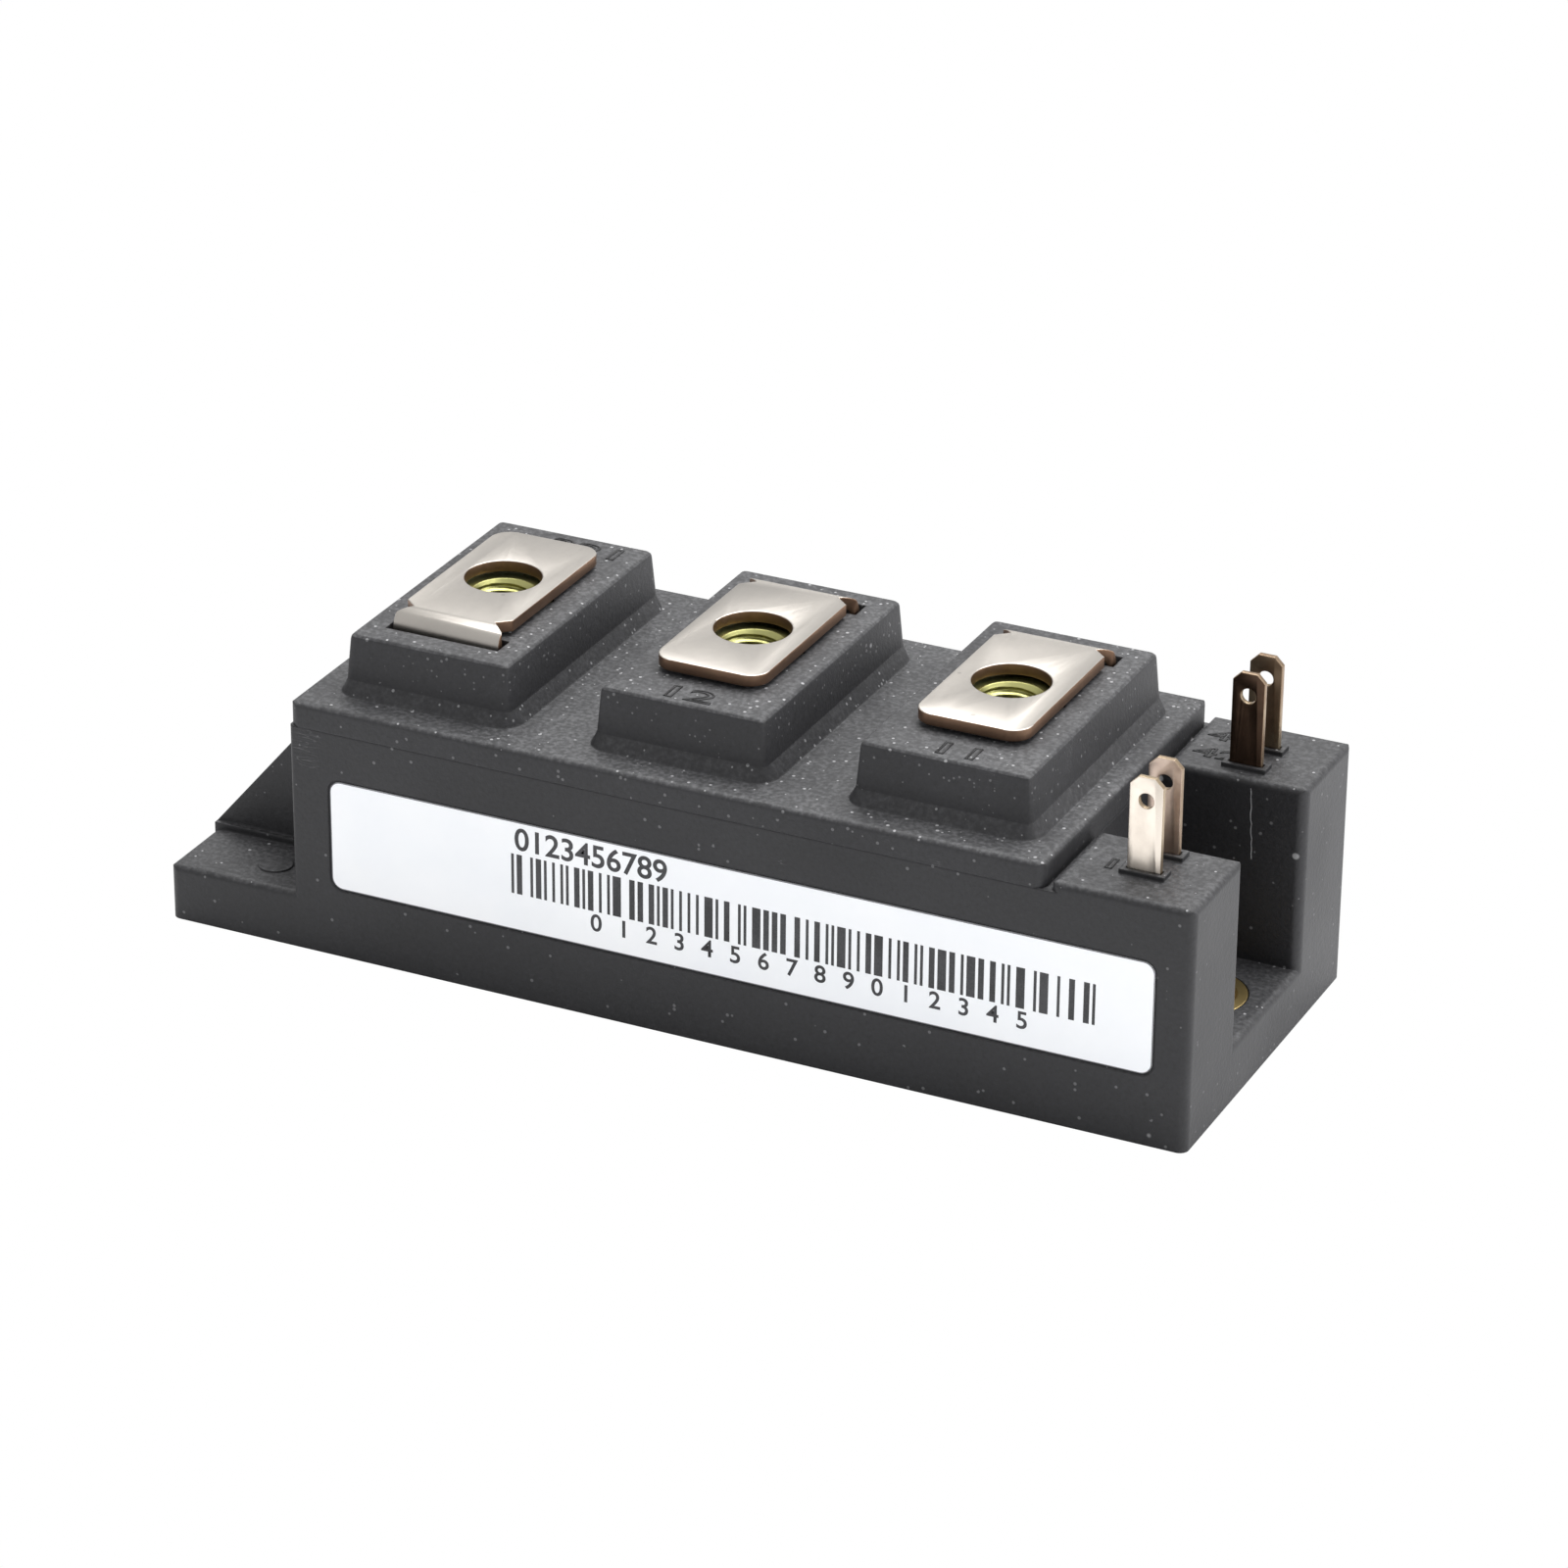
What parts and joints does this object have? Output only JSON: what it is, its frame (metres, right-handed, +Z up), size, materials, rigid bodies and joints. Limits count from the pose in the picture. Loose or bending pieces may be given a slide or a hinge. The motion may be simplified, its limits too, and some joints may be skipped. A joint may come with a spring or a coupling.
{
  "type": "igbt module",
  "caption": "Half-bridge power transistor module with a flat base, slotted screw ends, raised screw terminals in a row, and push-on control tabs.",
  "frame": {"origin": "middle of the overall box, on the underside of the base plate", "axes": "+X along the module towards the control tabs, +Y across it, +Z up from the heat sink"},
  "size_m": [0.092, 0.034, 0.0301],
  "materials": {
    "case_plastic": "moulded, fine texture",
    "lid_plastic": "moulded, fine texture",
    "base_copper": "nickel plated copper",
    "sleeve_brass": "passivated",
    "terminal_nickel": "nickel plated copper, stamped",
    "nut_steel": "yellow zinc",
    "tab_metal": "tinned, worn",
    "label_paper": "satin",
    "solder": "dull",
    "copper_foil": "bare copper",
    "ceramic": "matt",
    "chip_silicon": "metallised",
    "bond_aluminium": "drawn",
    "gel": "soft, clear",
    "epoxy": "cast"
  },
  "bodies": {
    "root": {"case_frame": "case_plastic", "terminal_lid": "lid_plastic", "base_plate": "base_copper", "left_mounting_sleeve": "sleeve_brass", "right_mounting_sleeve": "sleeve_brass", "output_terminal": "terminal_nickel", "emitter_terminal": "terminal_nickel", "collector_terminal": "terminal_nickel", "output_nut": "nut_steel", "emitter_nut": "nut_steel", "collector_nut": "nut_steel", "upper_gate_tab": "tab_metal", "upper_sense_tab": "tab_metal", "lower_gate_tab": "tab_metal", "lower_sense_tab": "tab_metal", "rating_label": "label_paper", "substrate_solder": "solder", "back_foil": "copper_foil", "ceramic_substrate": "ceramic", "collector_track": "copper_foil", "output_track": "copper_foil", "emitter_track": "copper_foil", "upper_gate_track": "copper_foil", "lower_gate_track": "copper_foil", "chip_solder": "solder", "upper_igbt_chip": "chip_silicon", "upper_diode_chip": "chip_silicon", "lower_igbt_chip": "chip_silicon", "lower_diode_chip": "chip_silicon", "upper_bond_wires": "bond_aluminium", "lower_bond_wires": "bond_aluminium", "gate_bond_wires": "bond_aluminium", "silicone_gel": "gel", "epoxy_seal": "epoxy"}
  },
  "joints": []
}
